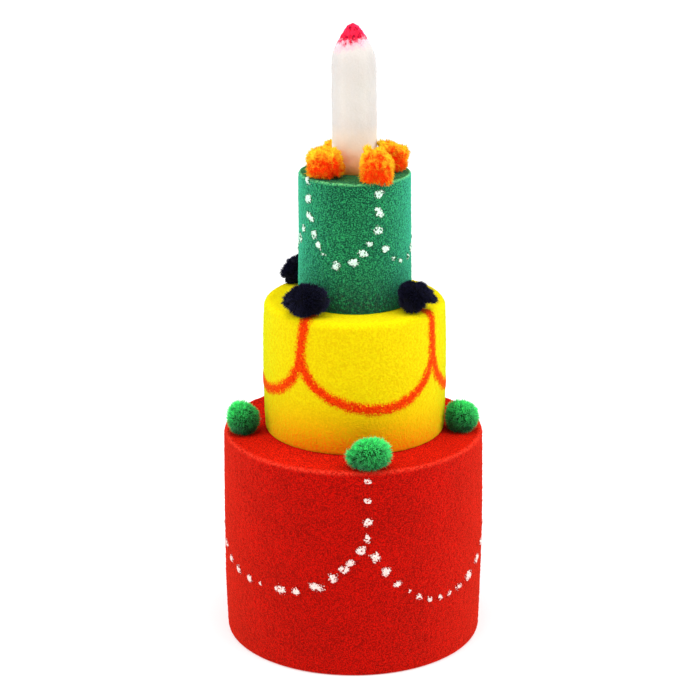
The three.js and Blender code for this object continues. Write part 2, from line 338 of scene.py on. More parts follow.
FAR_OUT = -1.0  # value of a paint field away from all paint
DAB_REACH = 1.12  # how far a dab's field reaches, in half widths
DAB_TILT = (-1.1, 0.3)  # radians: most dabs lie a little aslant, lower at the right
DAB_STRETCH = (0.95, 1.25)
DAB_LUMP = 1.5  # size and depth of the lumps in a dab's edge
DAB_UNEVEN = 0.3


def dab_field(string, points, seed):
    """1 at the middle of each dab, 0 round its ragged edge, and below 0 outside."""
    rng = np.random.default_rng(seed)
    tier = string["tier"]
    angles, heights = around_and_up(tier, points)
    inward = (tier.radii[2] - from_axis(tier, points)).clip(0, None)  # past the rim, over the top
    field = np.full(len(points), FAR_OUT)
    for angle, height, width, missing in string_dabs(string):
        across = arc_length(tier.radii[1], angles - angle)
        up = heights + np.where(heights > tier.top - tier.top_round, inward, 0) - height
        tilt = rng.uniform(*DAB_TILT)
        stretch = rng.uniform(*DAB_STRETCH)
        u = across * math.cos(tilt) + up * math.sin(tilt)
        v = up * math.cos(tilt) - across * math.sin(tilt)
        distance = np.hypot(u / stretch, v * stretch) / (width / 2 * DAB_REACH)
        field = np.maximum(field, 1 - distance - missing)
    return field + value_noise(points, DAB_LUMP, seed + 1) * DAB_UNEVEN


SWAG_POINTS = 220  # on each swag of the painted line
LINE_LUMP = 1.6  # size and depth of the lumps in the line's edge
LINE_UNEVEN = 0.22


def swag_places(line):
    """(angle, height) of points close together along the swags of the painted line."""
    places = []
    turn = math.pi * (np.linspace(0, 1, SWAG_POINTS) - 0.5)
    for i, start in enumerate(line["drops"]):
        low_at, low = line["swags"][i]
        half = np.where(turn < 0, low_at, end_of(line, i) - start - low_at)
        angle = start + low_at + half * np.sin(turn)
        height = line["knot"] - (line["knot"] - low) * np.cos(turn)
        places.append(np.stack([angle, height], 1))
    return np.concatenate(places)


def line_field(line, points, seed):
    """1 along the middle of the line, 0 at its edges, and below 0 outside."""
    tier = line["tier"]
    angles, heights = around_and_up(tier, points)
    nearest = np.full(len(points), np.inf)
    for angle, height in swag_places(line):
        across = arc_length(tier.radii[1], angles - angle)
        nearest = np.minimum(nearest, across**2 + (heights - height) ** 2)
    away = from_axis(tier, points)
    over = (heights > line["knot"]) & (away > line["start"])
    for start, slant in zip(line["drops"], line["slant"]):
        across = arc_length(away, angles - start - slant * (heights - line["knot"]))
        nearest = np.where(over, np.minimum(nearest, across**2), nearest)
    field = 1 - np.sqrt(nearest) / (line["width"] / 2)
    return np.maximum(field, FAR_OUT) + value_noise(points, LINE_LUMP, seed) * LINE_UNEVEN


# ---------- foam ----------


def tier_rings(tier):
    """A tier's rings, from the middle of its underside over its wall to the middle of its top."""
    cell = tier.cell()
    low, high = tier.foot + tier.foot_round, tier.top - tier.top_round
    low_radius, high_radius = tier.radius(low) - tier.foot_round, tier.radius(high) - tier.top_round
    heights = np.linspace(low, high, round((high - low) / cell) + 1)
    wall = [
        *arc(low_radius, low, tier.foot_round, -90, cell),
        *((tier.radius(height), height) for height in heights[:-1]),
        *arc(high_radius, high, tier.top_round, 0, cell),
    ]
    return [
        *disc(low_radius - cell, tier.foot, tier.around // 2, cell, covered=low_radius)[::-1],
        *((radius, height, tier.around) for radius, height in wall),
        *disc(high_radius, tier.top, tier.around, cell, tier.covered),
    ]


FOAM_FADE = 1.5  # the foam's relief fades out over this distance next to what covers it
GRAIN_HEIGHT = 0.6  # heights of grain, pores and lumps, next to how rough the foam is
PORE_DEPTH = 1.8
PORE_RARITY = 6  # the higher, the fewer deep pores
LUMP_HEIGHT = 0.25
LUMP_CELLS = 2.2  # size of a lump, in cells
SLOW_HEIGHT = 0.2  # height and size of slow unevenness
SLOW_SIZE = 24
JITTER = 0.16  # how far points move aside, in cells
BOUNCE_SHADE_FALL = 1.5  # how fast the painted bounce light and shade at a foot fade towards their upper end
UPWARD = (0.6, 0.97)  # the tilt where a top face's look starts and is full: 0 on walls, 1 facing up
RIM = (0.1, 0.6)  # where a rim's painted highlight starts and is full, and where it ends and is still full
RIM_END = (1, 0.9)
PAINT_EDGE = (0.1, 0.45)  # paint field where paint starts to stand proud, and where it does in full


def clipped_grain(rng, count):
    return rng.normal(0, 1, count).clip(-2, 2)


def foam_relief(points, cell, rough, seed):
    """Height of the open cells of cut foam: fine grain, some deeper pores and slow unevenness."""
    rng = np.random.default_rng(seed)
    grain = clipped_grain(rng, len(points))
    pores = rng.random(len(points)) ** PORE_RARITY
    lumps = value_noise(points, LUMP_CELLS * cell, seed + 1)
    slow = value_noise(points, SLOW_SIZE, seed + 2)
    fine = GRAIN_HEIGHT * grain - PORE_DEPTH * pores + LUMP_HEIGHT * lumps
    return rough * fine + SLOW_HEIGHT * slow


def foot_bounce_shade(tier, points):
    """How strongly each point takes the painted light bounced from what the tier stands on, and painted
    shade: most at the front foot.
    """
    angles, heights = around_and_up(tier, points)
    share = (1 - (heights - tier.foot) / tier.bounce_shade_reach).clip(0, 1) ** BOUNCE_SHADE_FALL
    front = np.cos(np.radians(angles)).clip(0, 1)
    return share * (tier.bounce_shade_behind + (1 - tier.bounce_shade_behind) * front)


def foam_tier(name, tier, field, rough, proud, seed):
    """A tier's foam and the paint that field gives it. Its top takes material 1, its paint material 2."""
    points, outwards, triangles = turned(tier_rings(tier), tier.centre)
    away = from_axis(tier, points)
    tilt = outwards[:, 2]
    shows = np.where(tilt > RIM_END[1], smoothstep(tier.covered, tier.covered + FOAM_FADE, away), 1)
    shows *= smoothstep(tier.foot, tier.foot + FOAM_FADE, points[:, 2])
    paint = field(points)
    rng = np.random.default_rng(seed + 7)
    jitter = rng.uniform(-JITTER, JITTER, points.shape) * tier.cell()
    relief = foam_relief(points, tier.cell(), rough, seed)
    relief += proud * smoothstep(*PAINT_EDGE, paint)
    points = points + (shows * relief)[:, None] * outwards + shows[:, None] * jitter
    upward = smoothstep(*UPWARD, tilt)
    obj = mesh_object(
        name, points, triangles, paint=paint, upward=upward, stain=foot_bounce_shade(tier, points),
        rim=smoothstep(*RIM, tilt) * smoothstep(*RIM_END, tilt),
    )
    material = np.where(upward[triangles].mean(axis=1) > 0.5, 1, 0)
    material = np.where(paint[triangles].mean(axis=1) > 0, 2, material)
    obj.data.polygons.foreach_set("material_index", material.astype(np.int32))
    return obj


CANDLE_SMOOTHING = 1.6  # its outline is averaged over this far up and down
SMOOTHING_STEPS = 7


def candle_rings():
    """The candle's rings: a slightly waisted stick, a shoulder and a blunt cone."""
    cone = CANDLE_TIP - CANDLE_SHOULDER
    last = CANDLE_TIP - CANDLE_TIP_HEIGHT
    corners = [
        (CANDLE_FOOT, CANDLE_RADIUS),
        (CANDLE_FOOT + CANDLE_WAIST_AT * (CANDLE_SHOULDER - CANDLE_FOOT), CANDLE_WAIST),
        (CANDLE_SHOULDER, CANDLE_RADIUS),
        *((CANDLE_SHOULDER + cone * up, CANDLE_RADIUS * wide) for up, wide in CANDLE_CONE),
        (last, CANDLE_TIP_RADIUS),
    ]
    cell = 2 * math.pi * CANDLE_RADIUS / CANDLE_AROUND
    heights = np.arange(CANDLE_FOOT, last, cell)
    near = np.linspace(-CANDLE_SMOOTHING, CANDLE_SMOOTHING, SMOOTHING_STEPS)
    corner_heights, corner_radii = np.array(corners).T
    radii = np.interp(heights[:, None] + near, corner_heights, corner_radii).mean(axis=1)
    rings = disc(CANDLE_RADIUS - cell, CANDLE_FOOT, CANDLE_AROUND // 2, cell, CANDLE_RADIUS)[::-1]
    around = CANDLE_AROUND
    for height, radius in zip(heights, radii):
        if 2 * math.pi * radius / around < NARROWEST * cell and around > FEWEST:
            around //= 2
        rings.append((radius, height, around))
    rings.append((0, CANDLE_TIP, 1))
    return rings


CANDLE_GRAIN = 0.035  # height of its grain, and how much coarser the paint makes it
PAINTED_GRAIN = 0.11
PAINTED = (CANDLE_TIP - 12, CANDLE_TIP - 7)  # where that starts and is full
CANDLE_DENTS = ((3, 0.12), (14, 0.22))  # size and depth of its dents


def foam_candle(name, seed):
    points, outwards, triangles = turned(candle_rings(), CANDLE_CENTRE)
    share = (points[:, 2] - CANDLE_FOOT) / (CANDLE_TIP - CANDLE_FOOT)
    shows = smoothstep(CANDLE_FOOT, CANDLE_FOOT + FOAM_FADE, points[:, 2])
    rng = np.random.default_rng(seed)
    grain = CANDLE_GRAIN + PAINTED_GRAIN * smoothstep(*PAINTED, points[:, 2])
    relief = grain * clipped_grain(rng, len(points))
    for i, (size, depth) in enumerate(CANDLE_DENTS, 1):
        relief += depth * value_noise(points, size, seed + i)
    points = points + (shows * relief)[:, None] * outwards
    points[:, 0] += CANDLE_LEAN * share**CANDLE_LEAN_CURVE
    return mesh_object(name, points, triangles)


# ---------- pompoms ----------


@dataclass
class Yarn:
    """How a pompom's fibres look."""

    thick: float  # radius of a fibre
    stray: float  # how far a fibre's tip bends aside
    uneven: float  # how far tips stand out or back, as a share of the radius
    tufts: int
    pull: float  # how strongly fibres gather into tufts
    valley: float  # depth between tufts, as a share of the radius
    core: float  # size of the solid core, as a share of the way out to the surface
    wisps: float  # share of the fibres that are thin and stand out further


GREEN_YARN = Yarn(
    thick=0.18, stray=0.85, uneven=0.03, tufts=150, pull=0.35, valley=0.03, core=0.84, wisps=0.3)
NAVY_YARN = Yarn(
    thick=0.18, stray=0.6, uneven=0.025, tufts=60, pull=0.42, valley=0.07, core=0.84, wisps=0.15)
ORANGE_YARN = Yarn(
    thick=0.27, stray=0.6, uneven=0.035, tufts=130, pull=0.5, valley=0.06, core=0.88, wisps=0.2)

FIBRES = 3400  # in each pompom
ROOT_DEPTH = 0.66  # where a fibre starts and bends, as shares of the way out to the surface
BEND_DEPTH = 0.88
BEND_ASIDE = 0.3  # how far aside it is at the bend, next to its tip, and how thick, next to its root
BEND_THICK = 0.8
BEND_ALONG = 0.55  # where the bend is on the way from the inner to the outer colour
REACH = 1.03  # how far tips reach, as a share of the way to the surface
WISP_REACH = 0.06  # how much further thin fibres reach
WISP_THICK = 0.5  # and how thick they are, next to the others
FLATTENED = 0.7  # share of a tip's bending in or out that is taken away
THICKNESS = (0.75, 1.25)  # the thinnest and the thickest fibre, next to the yarn's thickness
CORE_SHADE = 0.3  # the core's place in the range of the fibres' shades
CORE_LUMP = 1.8  # size and height of the lumps of the core
CORE_UNEVEN = 0.06
CORE_SPLITS = 2  # how often its triangles are split in four
ASIDE = (0.5, 1)  # distance from the middle, in half widths, where the sides' painted light starts and is full
RIM_CLEAR = 0.7  # yarn past a tier's rim by more than this hangs down, in full after RIM_BEND more
RIM_BEND = 2
HANG = 1.5


def node_shape(name):
    """Points in millimetres and triangles of a CAD node."""
    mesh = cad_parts[name].data
    points = np.empty(3 * len(mesh.vertices), np.float32)
    mesh.vertices.foreach_get("co", points)
    mesh.calc_loop_triangles()
    triangles = np.empty(3 * len(mesh.loop_triangles), np.int32)
    mesh.loop_triangles.foreach_get("vertices", triangles)
    return points.reshape(-1, 3).astype(float) / MM, triangles.reshape(-1, 3)


def spread_points(points, triangles, count, rng):
    """Random points spread evenly over the triangles."""
    a, b, c = (points[triangles[:, k]] for k in range(3))
    areas = np.linalg.norm(np.cross(b - a, c - a), axis=1)
    chosen = rng.choice(len(triangles), count, p=areas / areas.sum())
    u, v = rng.random((2, count))
    over = u + v > 1
    u, v = np.where(over, 1 - u, u)[:, None], np.where(over, 1 - v, v)[:, None]
    return a[chosen] + u * (b - a)[chosen] + v * (c - a)[chosen]


def unit(vectors):
    return vectors / np.linalg.norm(vectors, axis=1, keepdims=True)


def fibre_mesh(roots, bends, tips, thick):
    """Points and triangles of tapered three-sided fibres, closed at the root and pointed at the tip."""
    forward = unit(tips - roots)
    helper = np.where(np.abs(forward[:, 2:]) < 0.9, [[0, 0, 1.0]], [[1.0, 0, 0]])
    side = unit(np.cross(forward, helper))
    other = np.cross(forward, side)
    corners = [2 * math.pi * k / 3 for k in range(3)]
    around = [thick[:, None] * (math.cos(t) * side + math.sin(t) * other) for t in corners]
    rows = [roots + a for a in around] + [bends + BEND_THICK * a for a in around] + [tips]
    points = np.stack(rows, 1).reshape(-1, 3)
    one = [(0, 2, 1)]
    for k in range(3):
        n = (k + 1) % 3
        one += [(k, n, 3 + n), (k, 3 + n, 3 + k), (3 + k, 3 + n, 6)]
    firsts = len(rows) * np.arange(len(roots))
    triangles = (np.array(one)[None] + firsts[:, None, None]).reshape(-1, 3)
    return points, triangles


def pompom_core(points, triangles, centre, depth, seed):
    """The CAD solid drawn in to depth of the way out from its centre, welded, finer and lumpy."""
    rounded, back = np.unique(points.round(3), axis=0, return_inverse=True)
    triangles = back.reshape(-1)[triangles]
    for _ in range(CORE_SPLITS):
        edges = np.concatenate([triangles[:, pair] for pair in ([0, 1], [1, 2], [2, 0])])
        unique, which = np.unique(np.sort(edges, axis=1), axis=0, return_inverse=True)
        a, b, c = triangles.T
        ab, bc, ca = len(rounded) + which.reshape(3, -1)
        rounded = np.concatenate([rounded, rounded[unique].mean(axis=1)])
        parts = [(a, ab, ca), (ab, b, bc), (ca, bc, c), (ab, bc, ca)]
        triangles = np.concatenate([np.stack(p, 1) for p in parts])
    lumps = 1 + CORE_UNEVEN * value_noise(rounded, CORE_LUMP, seed)
    return centre + (rounded - centre) * (depth * lumps)[:, None], triangles


LOOK_DOWN = math.radians(18.4)  # lobes are given as seen from the front and from this far above
LOBE_DEPTH = 50  # degrees that a lobe runs over the outline, to the front and to the back


def lobed(out, lobes):
    """How much further, as a share of the radius, fibres reach. lobes are (at, reach, spread): a ridge,
    or a groove where reach is below 0, across the outline, at so many degrees anticlockwise from its
    right and so many wide."""
    right, back, up = unit(out).T
    high = back * math.sin(LOOK_DOWN) + up * math.cos(LOOK_DOWN)
    toward = up * math.sin(LOOK_DOWN) - back * math.cos(LOOK_DOWN)
    place = np.degrees(np.arctan2(high, right))
    depth = np.exp(-((np.degrees(np.arcsin(toward.clip(-1, 1))) / LOBE_DEPTH) ** 2))
    extra = np.zeros(len(out))
    for at, reach, spread in lobes:
        off = (place - at + 180) % 360 - 180
        extra += reach * depth * np.exp(-((off / spread) ** 2))
    return extra


def pompom(name, yarn, tier, lobes, seed):
    """A pompom of fibres out to the CAD node's surface, or past or short of it at a ridge or groove.
    It rests on a tier, and past the tier's rim it hangs down a little."""
    rng = np.random.default_rng(seed)
    solid, faces = node_shape(name)
    low, high = solid.min(axis=0), solid.max(axis=0)
    centre = (low + high) / 2
    surface = spread_points(solid, faces, FIBRES, rng)
    tuft_at = spread_points(solid, faces, yarn.tufts, rng)
    distance = np.linalg.norm(surface[:, None] - tuft_at[None], axis=2)
    nearest = distance.argmin(axis=1)
    away = distance.min(axis=1)
    wisp = rng.random(FIBRES) < yarn.wisps
    out = surface - centre
    lobe = 1 + lobed(out, lobes)
    reach = REACH + rng.normal(0, yarn.uneven, FIBRES) - yarn.valley * (away / away.max()) ** 2
    reach += np.where(wisp, WISP_REACH, 0)
    bent = rng.normal(0, yarn.stray, surface.shape) + yarn.pull * (tuft_at[nearest] - surface)
    along_out = unit(out)
    bent -= FLATTENED * (bent * along_out).sum(axis=1, keepdims=True) * along_out
    roots = centre + (ROOT_DEPTH * lobe)[:, None] * out
    bends = centre + (BEND_DEPTH * reach * lobe)[:, None] * out + BEND_ASIDE * bent
    tips = centre + (reach * lobe)[:, None] * out + bent
    thick = yarn.thick * rng.uniform(*THICKNESS, FIBRES) * np.where(wisp, WISP_THICK, 1)
    points, triangles = fibre_mesh(roots, bends, tips, thick)
    core, core_triangles = pompom_core(solid, faces, centre, yarn.core, seed)
    core = centre + (core - centre) * (1 + lobed(core - centre, lobes))[:, None]
    along_one = [0] * 3 + [BEND_ALONG] * 3 + [1]
    along = np.tile(along_one, FIBRES)
    shade = np.repeat(rng.random(FIBRES), len(along_one))
    points = np.concatenate([core, points])
    # where the yarn's painted light and shade go: its top, its left and right sides, and the side that
    # faces the cake
    rise = (2 * (points[:, 2] - low[2]) / (high[2] - low[2]) - 1).clip(-1, 1)
    aside = smoothstep(*ASIDE, np.abs(points[:, 0] - centre[0]) * 2 / (high[0] - low[0]))
    outward = unit((centre[:2] - tier.centre)[None])[0]
    inner = -2 * ((points - centre)[:, :2] @ outward) / (high - low)[:2].mean()
    hang = HANG * smoothstep(0, RIM_BEND, from_axis(tier, points) - tier.radii[2] - RIM_CLEAR)
    points[:, 2] = np.maximum(points[:, 2], tier.top + SETTLED) - hang
    return mesh_object(
        name + "_yarn", points, np.concatenate([core_triangles, triangles + len(core)]),
        along=np.concatenate([np.zeros(len(core)), along]),
        shade=np.concatenate([np.full(len(core), CORE_SHADE), shade]),
        rise=rise, aside=aside, inner=inner.clip(0, 1),
    )


# ---------- materials ----------


MIX_SHARE, MIX_A, MIX_B, MIX_RESULT = 0, 6, 7, 2  # a Mix node's sockets for colours


class Nodes:
    """Adds nodes to a material's tree, and links what it is given as sockets."""

    def __init__(self, name):
        self.material = bpy.data.materials.new(name)
        self.material.use_nodes = True
        self.tree = self.material.node_tree
        self.shader = self.tree.nodes["Principled BSDF"]

    def add(self, kind, inputs=None, **settings):
        node = self.tree.nodes.new(kind)
        for key, value in settings.items():
            setattr(node, key, value)
        for key, value in (inputs or {}).items():
            self.put(key, value, node)
        return node

    def put(self, key, value, node=None):
        """Sets or links an input, of the material's shader unless a node is given."""
        node = node or self.shader
        if isinstance(value, bpy.types.NodeSocket):
            self.tree.links.new(value, node.inputs[key])
        else:
            node.inputs[key].default_value = value

    def noise(self, size, detail=2, roughness=0.55, stretch=None):
        """Noise from 0 to 1 whose lumps are about size millimetres across."""
        place, scale = self.place(stretch), 1 / (size * MM)
        inputs = {"Vector": place, "Scale": scale, "Detail": detail, "Roughness": roughness}
        return self.add("ShaderNodeTexNoise", inputs).outputs["Fac"]

    def place(self, stretch=None):
        """The place on the piece in metres, with each axis multiplied where stretch is given."""
        where = self.add("ShaderNodeTexCoord").outputs["Object"]
        if stretch:
            stretched = self.add("ShaderNodeVectorMath", {0: where, 1: stretch}, operation="MULTIPLY")
            where = stretched.outputs[0]
        return where

    def pores(self, size):
        """0 in the middle of each foam cell and larger towards its walls."""
        inputs = {"Vector": self.place(), "Scale": 1 / (size * MM)}
        return self.add("ShaderNodeTexVoronoi", inputs).outputs["Distance"]

    def math(self, operation, a, b=0):
        return self.add("ShaderNodeMath", {0: a, 1: b}, operation=operation).outputs[0]

    def total(self, value, *others):
        for other in others:
            value = self.math("ADD", value, other)
        return value

    def remap(self, value, low, high, to_low=0, to_high=1):
        inputs = {"Value": value, "From Min": low, "From Max": high, "To Min": to_low, "To Max": to_high}
        return self.add("ShaderNodeMapRange", inputs).outputs["Result"]

    def mix(self, share, a, b, blend="MIX"):
        """Colour a where share is 0, and b, or what blending makes of a and b, where it is 1."""
        inputs = {MIX_SHARE: share, MIX_A: a, MIX_B: b}
        return self.add("ShaderNodeMix", inputs, data_type="RGBA", blend_type=blend).outputs[MIX_RESULT]

    def tint(self, share, colour, tint):
        """The colour, multiplied by a tint where share is 1."""
        return self.mix(share, colour, (*tint, 1), blend="MULTIPLY")

    def attribute(self, name):
        return self.add("ShaderNodeAttribute", attribute_name=name).outputs["Fac"]

    def bump(self, height, distance, strength):
        inputs = {"Height": height, "Distance": distance * MM, "Strength": strength}
        self.put("Normal", self.add("ShaderNodeBump", inputs).outputs["Normal"])

    def dull(self, sheen, sheen_tint, sheen_roughness=0.5):
        """Foam and yarn barely shine, and look paler where they are seen edge on."""
        self.put("Specular IOR Level", 0.05)
        self.put("Sheen Weight", sheen)
        self.put("Sheen Tint", sheen_tint)
        self.put("Sheen Roughness", sheen_roughness)


def linear(*screen):
    """A colour for a shader from its red, green and blue screen values, 0 to 255."""
    shares = (value / 255 for value in screen)
    return (*(v / 12.92 if v <= 0.04045 else ((v + 0.055) / 1.055) ** 2.4 for v in shares), 1)


PORE_SIZE = 0.9  # in cells
PORE_SHARES = (-0.25, 0.15)  # what pores and cell walls add to how light the foam is
BLOTCH = 18  # size of slow blotches, and what they add
BLOTCH_SHARES = (-0.1, 0.1)
FOAM_GLOSS = (1, 0.86)  # roughness of dark and light foam


def foam_colour(nodes, dark, light, cell, specks=(0.4, 0.6)):
    """Mottled foam: light cell walls, darker pores, and slow blotches. specks are the noise values
    where the light colour starts and is full."""
    speckle = nodes.remap(nodes.noise(cell, 2, 0.6), *specks)
    blotch = nodes.remap(nodes.noise(BLOTCH), 0.3, 0.7, *BLOTCH_SHARES)
    pores = nodes.remap(nodes.pores(cell * PORE_SIZE), 0.15, 0.75)
    grain = nodes.total(speckle, blotch, nodes.remap(pores, 0, 1, *PORE_SHARES))
    return nodes.mix(nodes.remap(grain, 0, 1), dark, light), grain


RIM_HIGHLIGHT_PATCH = 0.8  # sizes of the patches of the rim's painted highlight, of holes in the paint and of its mottling
PAINT_HOLE = 1.1
PAINT_MOTTLE = 0.9
SHADOW_REACH = 0.35  # how far outside the paint's edge the dark line round it starts


def painted(nodes, look, foam):
    """The foam's colour with the paint over it, and where the paint is."""
    fine = nodes.noise(look.paint_grain, 3, 0.65)
    ragged = nodes.remap(fine, 0.3, 0.7, -look.ragged, look.ragged)
    holes = nodes.remap(nodes.noise(PAINT_HOLE, 1), 0.6, 0.66, 0, -look.holes)
    field = nodes.total(nodes.attribute("paint"), ragged, holes)
    mask = nodes.remap(field, look.edge - look.soft, look.edge + look.soft)
    shadow = nodes.remap(field, look.edge - SHADOW_REACH, look.edge - look.soft, 0, look.shadow)
    mottle = nodes.remap(nodes.noise(PAINT_MOTTLE, 2, 0.6), 0.35, 0.65)
    paint = nodes.mix(mottle, look.paint_dark, look.paint)
    return nodes.mix(mask, nodes.mix(shadow, foam, look.dark), paint), mask


def foam_material(name, look, sheen):
    """Foam with painted bounce light and shade at its foot, painted light on its top and rim, and paint
    where the mesh's paint field is over its ragged edge.
    """
    nodes = Nodes(name)
    colour, grain = foam_colour(nodes, look.dark, look.light, look.cell, look.specks)
    # painted light bounced from what the tier stands on, and painted shade, in specks at its foot
    patchy = nodes.remap(nodes.noise(look.bounce_shade_grain, 2, 0.6), 0.36, 0.64, *look.bounce_shade_spread)
    stain = nodes.math("MULTIPLY", nodes.attribute("stain"), patchy)
    colour = nodes.tint(nodes.remap(stain, 0, 1), colour, look.stain)
    # painted top light: the top faces lighter, or tinted as by light bounced from the pompoms
    colour = nodes.tint(nodes.attribute("upward"), colour, look.top)
    # a painted highlight along the rim, in patches
    highlight_patches = nodes.remap(nodes.noise(RIM_HIGHLIGHT_PATCH), 0.36, 0.6, 0, look.rim_share)
    colour = nodes.mix(nodes.math("MULTIPLY", nodes.attribute("rim"), highlight_patches), colour, look.rim)
    colour, mask = painted(nodes, look, colour)
    nodes.put("Base Color", colour)
    nodes.put("Roughness", nodes.remap(grain, 0, 1, *FOAM_GLOSS))
    nodes.bump(nodes.total(grain, mask), distance=0.22, strength=0.6)
    nodes.dull(sheen, look.sheen_tint, look.sheen_roughness)
    return nodes.material


CANDLE_TOP = (CANDLE_SHOULDER - 12, CANDLE_SHOULDER + 4)  # where the top's painted shade starts and is full
CANDLE_TOP_SHADE = (0.94, 0.93, 0.94)
CANDLE_SIDES = (0.5 * CANDLE_RADIUS, CANDLE_RADIUS)  # where both sides' painted shade does
CANDLE_SIDE_SHADE = (0.79, 0.8, 0.83)
CANDLE_RIGHT = (0, 0.6 * CANDLE_RADIUS)  # and one of painted shade against the stronger light from the right
CANDLE_RIGHT_TINT = (0.91, 0.915, 0.91)
CANDLE_BOUNCE_GLOWS = (  # painted light bounced from the orange pompoms: (reach up from its foot, colour)
    (22, linear(255, 232, 196)),
    (12, linear(255, 166, 78)),
)
PINK_EDGE = (CANDLE_TIP - 9.4, CANDLE_TIP - 7)  # where the pink starts and is full
PINK_SLANT = 0.16  # it reaches lower at the left, by this much for each millimetre across
PINK_RAGGED = 0.9
PINK_BLUR = linear(240, 170, 188)  # colour of its blurred edge, and of its streaks
PINK_DEEP = linear(138, 6, 36)
PINK = linear(246, 34, 68)
CANDLE_GLOSS = (0.95, 0.8)
SOFT_LIGHT = 0.006  # metres that light goes into the white foam


def candle_white(nodes, across, height):
    """The candle's white, with painted shade at its top, its sides and its right, painted orange bounce
    light at its foot, and its grain.
    """
    white, grain = foam_colour(nodes, dark=linear(210, 205, 198), light=linear(213, 208, 202), cell=0.8)
    white = nodes.tint(nodes.remap(height, *CANDLE_TOP), white, CANDLE_TOP_SHADE)
    sides = nodes.remap(nodes.math("ABSOLUTE", across), *CANDLE_SIDES)
    white = nodes.tint(sides, white, CANDLE_SIDE_SHADE)
    # painted light bounced from the orange pompoms onto the foot
    for reach, glow in CANDLE_BOUNCE_GLOWS:
        white = nodes.mix(nodes.remap(height, CANDLE_FOOT, CANDLE_FOOT + reach, 1, 0), white, glow)
    return nodes.tint(nodes.remap(across, *CANDLE_RIGHT), white, CANDLE_RIGHT_TINT), grain


def candle_material(name):
    """White foam whose tip is sprayed pink, with a blurred and ragged lower edge."""
    nodes = Nodes(name)
    place = nodes.add("ShaderNodeSeparateXYZ", {0: nodes.place((1 / MM,) * 3)}).outputs
    across, height = place["X"], place["Z"]
    white, grain = candle_white(nodes, across, height)
    slanting = nodes.math("SUBTRACT", height, nodes.math("MULTIPLY", across, PINK_SLANT))
    over = nodes.remap(slanting, *PINK_EDGE)
    over.node.clamp = False
    ragged = nodes.remap(nodes.noise(2.2, 4, 0.7), 0.3, 0.7, -PINK_RAGGED, PINK_RAGGED)
    field = nodes.total(over, ragged)
    blurred = nodes.mix(nodes.remap(field, -PINK_RAGGED, PINK_RAGGED), white, PINK_BLUR)
    streaks = nodes.remap(nodes.noise(1.3, stretch=(1, 1, 0.4)), 0.38, 0.56)
    pink = nodes.mix(streaks, PINK_DEEP, PINK)
    nodes.put("Base Color", nodes.mix(nodes.remap(field, 0.4, 1.3), blurred, pink))
    nodes.put("Roughness", nodes.remap(grain, 0, 1, *CANDLE_GLOSS))
    nodes.bump(grain, distance=0.1, strength=0.4)
    nodes.dull(0, (1, 1, 1, 1))
    nodes.put("Subsurface Weight", 0.8)
    nodes.put("Subsurface Radius", (1, 0.85, 0.75))
    nodes.put("Subsurface Scale", SOFT_LIGHT)
    return nodes.material


@dataclass
class YarnLook:
    """A pompom's colours: from the inner one at a fibre's root to the outer one at its tip, lighter as a
    painted highlight on the fibre ends.
    """

    inner: tuple
    outer: tuple
    power: float  # how close to the tip the outer colour starts
    foot: float  # how much nearer to the outer colour the pompom's foot and its top are: painted shade and painted top light
    head: float
    head_from: float  # height where the top's painted light starts: -1 at the foot, 1 at the top
    side: float  # how much nearer to the outer colour the left and right sides are, as painted side light
    hollow: float  # and how much the side that faces the cake's middle is, as painted shade from the cake
    clump: float  # how much clumps of fibres differ, and their size
    clump_size: float
    uneven: float  # how much a fibre may be darker or lighter
    glow: float  # painted light: the yarn glows a little, to lift its shaded parts
    sheen: float
    sheen_tint: tuple


def yarn_material(name, look):
    """Yarn that goes from the inner colour to the outer one along its fibres and from part to part, with
    painted light and shade and a faint painted glow.
    """
    nodes = Nodes(name)
    clumps = nodes.noise(look.clump_size)
    # painted light on the top and the sides, painted shade at the foot and towards the cake
    share = nodes.total(
        nodes.math("POWER", nodes.attribute("along"), look.power),
        nodes.remap(clumps, 0.3, 0.7, -look.clump, look.clump),
        nodes.remap(nodes.attribute("rise"), look.head_from, 1, look.foot, look.head),
        nodes.remap(nodes.attribute("aside"), 0, 1, 0, look.side),
        nodes.remap(nodes.attribute("inner"), 0, 1, 0, look.hollow),
    )
    colour = nodes.mix(nodes.remap(share, 0, 1), look.inner, look.outer)
    brightness = nodes.remap(nodes.attribute("shade"), 0, 1, 1 - look.uneven, 1 + look.uneven)
    scaled = nodes.add("ShaderNodeVectorMath", {0: colour, 3: brightness}, operation="SCALE").outputs[0]
    nodes.put("Base Color", scaled)
    # painted glow: the yarn gives off a little light
    nodes.put("Emission Color", scaled)
    nodes.put("Emission Strength", look.glow)
    nodes.put("Roughness", nodes.remap(clumps, 0, 1, 0.75, 0.95))
    nodes.bump(nodes.noise(0.35, 1), distance=0.05, strength=0.5)
    nodes.dull(look.sheen, look.sheen_tint)
    return nodes.material


def finish_piece(obj, slot, node, *materials):
    for material in materials:
        obj.data.materials.append(material)
    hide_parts(node)
    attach(obj, "root")


# ---------- the pieces ----------


@dataclass
class FoamLook:
    """Colours and grain of a tier's foam and of the paint on it."""

    dark: tuple
    light: tuple
    rim: tuple
    paint: tuple
    paint_dark: tuple
    sheen_tint: tuple
    sheen_roughness: float = 0.55
    cell: float = 0.6  # size of the mottling
    specks: tuple = (0.4, 0.6)
    rim_share: float = 0.5  # how much the rim's painted highlight covers
    paint_grain: float = 0.8  # size and strength of what frays the paint's edge
    ragged: float = 0.42
    holes: float = 0.9  # how strongly the paint breaks open
    edge: float = 0.22  # paint field at the paint's edge, and how far the edge fades
    soft: float = 0.06
    shadow: float = 0.7  # how dark the line round the paint is
    stain: tuple = (1, 1, 1)  # what its foot and its top face multiply the foam's colour by: painted bounce light and shade, and painted top light
    top: tuple = (1, 1, 1)
    bounce_shade_grain: float = 1.3  # size of the specks of the painted bounce light and shade, and how faint and how strong they are
    bounce_shade_spread: tuple = (0.25, 1.65)
    top_sheen: float = 0.3  # sheen of its top face and of its paint, where its wall's is 1
    paint_sheen: float = 0.3


